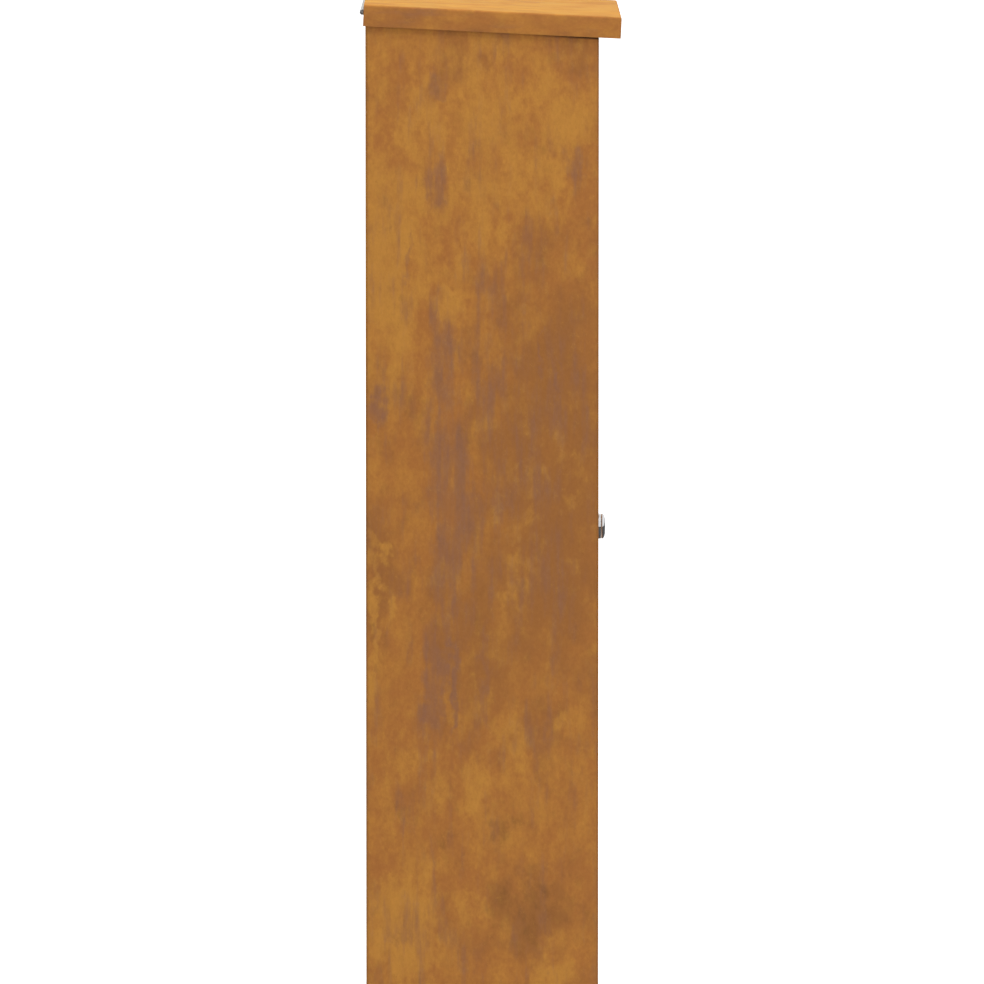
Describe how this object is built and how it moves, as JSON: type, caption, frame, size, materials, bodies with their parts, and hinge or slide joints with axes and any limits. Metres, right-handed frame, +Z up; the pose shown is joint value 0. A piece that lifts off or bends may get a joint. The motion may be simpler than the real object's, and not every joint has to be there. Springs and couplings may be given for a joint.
{
  "type": "rusty column mailbox",
  "caption": "Tall free-standing mailbox of folded weathering steel with a sloping hinged lid, an inset front door and a cam lock under a domed dust cover.",
  "frame": {"origin": "middle of the body's footprint, on the ground under the base plate", "axes": "+Z up, the front with the door and lock faces -Y, X is the width"},
  "size_m": [0.376, 0.2523, 1.1003],
  "materials": {
    "weathering_steel": "matt mottled rust patina on 2 mm sheet",
    "stainless": "dull stainless",
    "chrome": "bright chrome plate",
    "zinc_plate": "dull zinc plate",
    "black_rubber": "matt black rubber"
  },
  "bodies": {
    "column": {"body_shell": "weathering_steel", "front_header": "weathering_steel", "lower_front_panel": "weathering_steel", "base_plate": "weathering_steel", "letter_floor": "weathering_steel", "floor_ledge_left": "weathering_steel", "floor_ledge_right": "weathering_steel", "lid_hinge_body_leaf": "stainless", "lid_hinge_pin": "stainless", "lid_hinge_rivet_1": "stainless", "lid_hinge_rivet_2": "stainless", "lid_hinge_rivet_3": "stainless", "lid_hinge_rivet_4": "stainless", "lid_hinge_rivet_5": "stainless", "door_hinge_jamb_leaf": "stainless", "door_hinge_pin": "stainless", "door_hinge_jamb_rivet_1": "stainless", "door_hinge_jamb_rivet_2": "stainless", "door_hinge_jamb_rivet_3": "stainless", "door_hinge_jamb_rivet_4": "stainless", "door_hinge_jamb_rivet_5": "stainless", "lid_bumper_left": "black_rubber", "lid_bumper_right": "black_rubber", "door_bumper_upper": "black_rubber", "door_bumper_lower": "black_rubber"},
    "lid": {"lid": "weathering_steel", "lid_hinge_lid_leaf": "stainless"},
    "door": {"door_panel": "weathering_steel", "door_hinge_door_leaf": "stainless", "door_hinge_door_rivet_1": "stainless", "door_hinge_door_rivet_2": "stainless", "door_hinge_door_rivet_3": "stainless", "door_hinge_door_rivet_4": "stainless", "door_hinge_door_rivet_5": "stainless", "lock_body": "chrome", "lock_washer": "zinc_plate", "lock_nut": "zinc_plate", "lock_cover_rivet": "chrome"},
    "lock_cylinder": {"lock_plug": "chrome", "lock_cam": "zinc_plate", "cam_screw": "zinc_plate"},
    "dust_cover": {"lock_cover": "chrome"}
  },
  "joints": [
    {"name": "lid_hinge", "type": "hinge", "parent": "column", "child": "lid", "pos_m": [0, 0.1154, 1.0924], "axis": [-1, 0, 0], "range_deg": [0, 110]},
    {"name": "door_hinge", "type": "hinge", "parent": "column", "child": "door", "pos_m": [0.1571, -0.1113, 0.598], "axis": [0, 0, 1], "range_deg": [0, 150]},
    {"name": "key_turn", "type": "hinge", "parent": "door", "child": "lock_cylinder", "pos_m": [-0.142, -0.1125, 0.592], "axis": [0, 1, 0], "range_deg": [0, 90]},
    {"name": "dust_cover_swivel", "type": "hinge", "parent": "door", "child": "dust_cover", "pos_m": [-0.142, -0.1153, 0.6013], "axis": [0, 1, 0], "range_deg": [-150, 150]}
  ]
}
